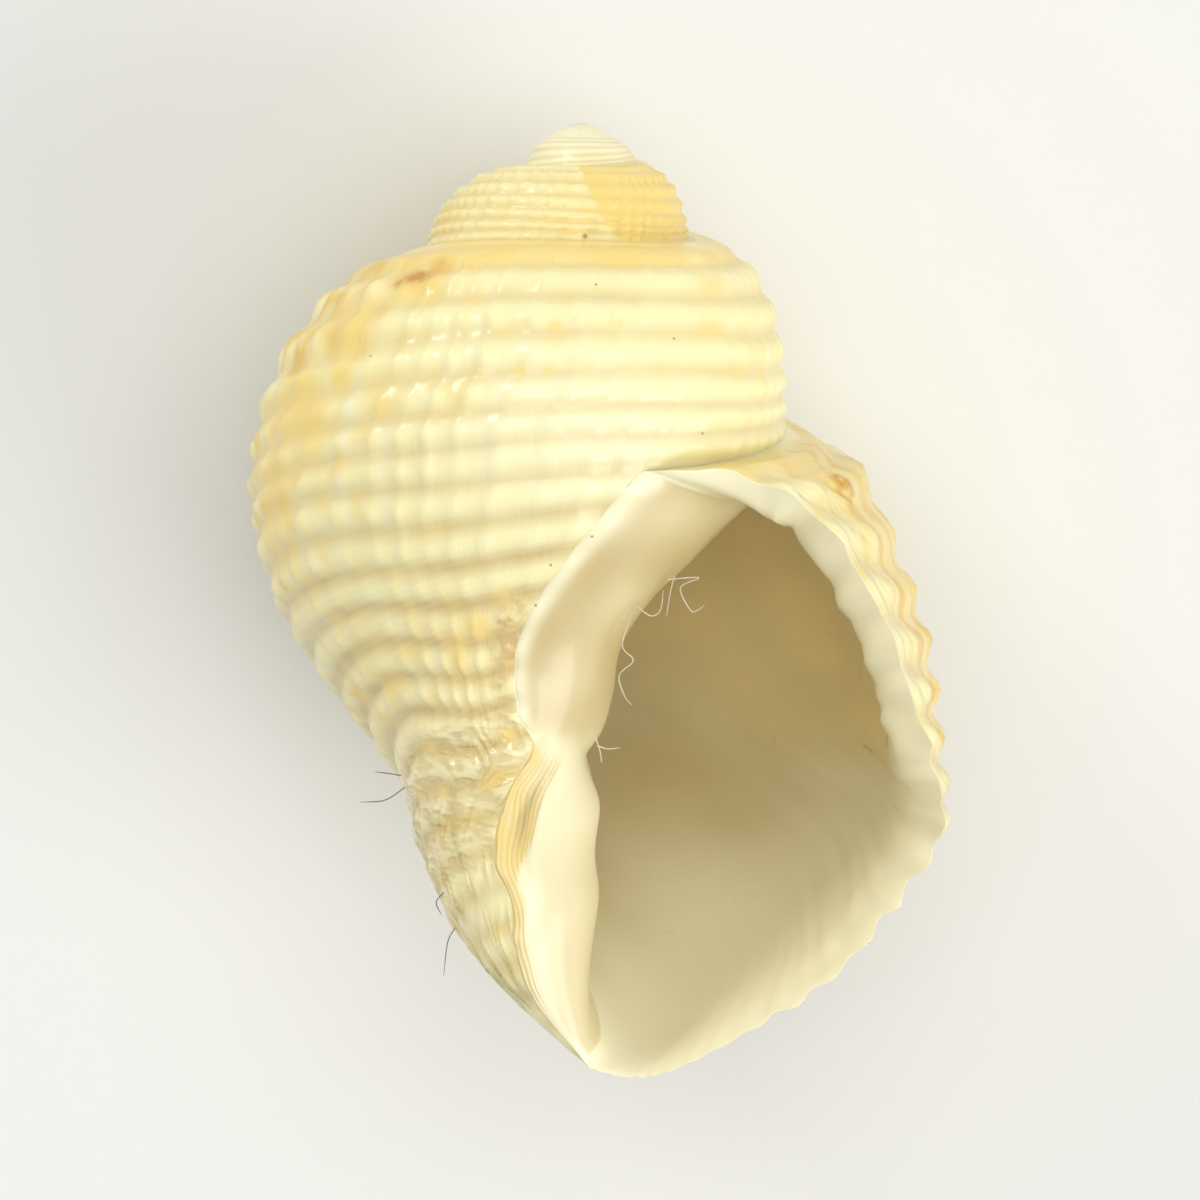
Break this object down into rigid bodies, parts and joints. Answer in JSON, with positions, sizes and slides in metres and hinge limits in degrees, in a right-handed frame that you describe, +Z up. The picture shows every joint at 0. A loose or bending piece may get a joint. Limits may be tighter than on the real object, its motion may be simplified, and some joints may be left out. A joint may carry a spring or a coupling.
{
  "type": "cancellaria obtusa shell",
  "caption": "Empty rounded sea-snail shell lying on its back: a short spire, a swollen last whorl with spiral cords, and a wide open mouth with a folded pillar",
  "frame": {"origin": "centre of the bounding box in plan, at the height of the flat spot that the shell rests on", "axes": "+Z up, out of the mouth of the lying shell; +Y along the shell from the base to the spire; +X towards the outer lip, as in the picture"},
  "size_m": [0.0278, 0.0366, 0.0217],
  "materials": {
    "shell_lime": "cream shell lime, satin outside and glossy round the mouth"
  },
  "bodies": {
    "root": {"shell": "shell_lime"}
  },
  "joints": []
}
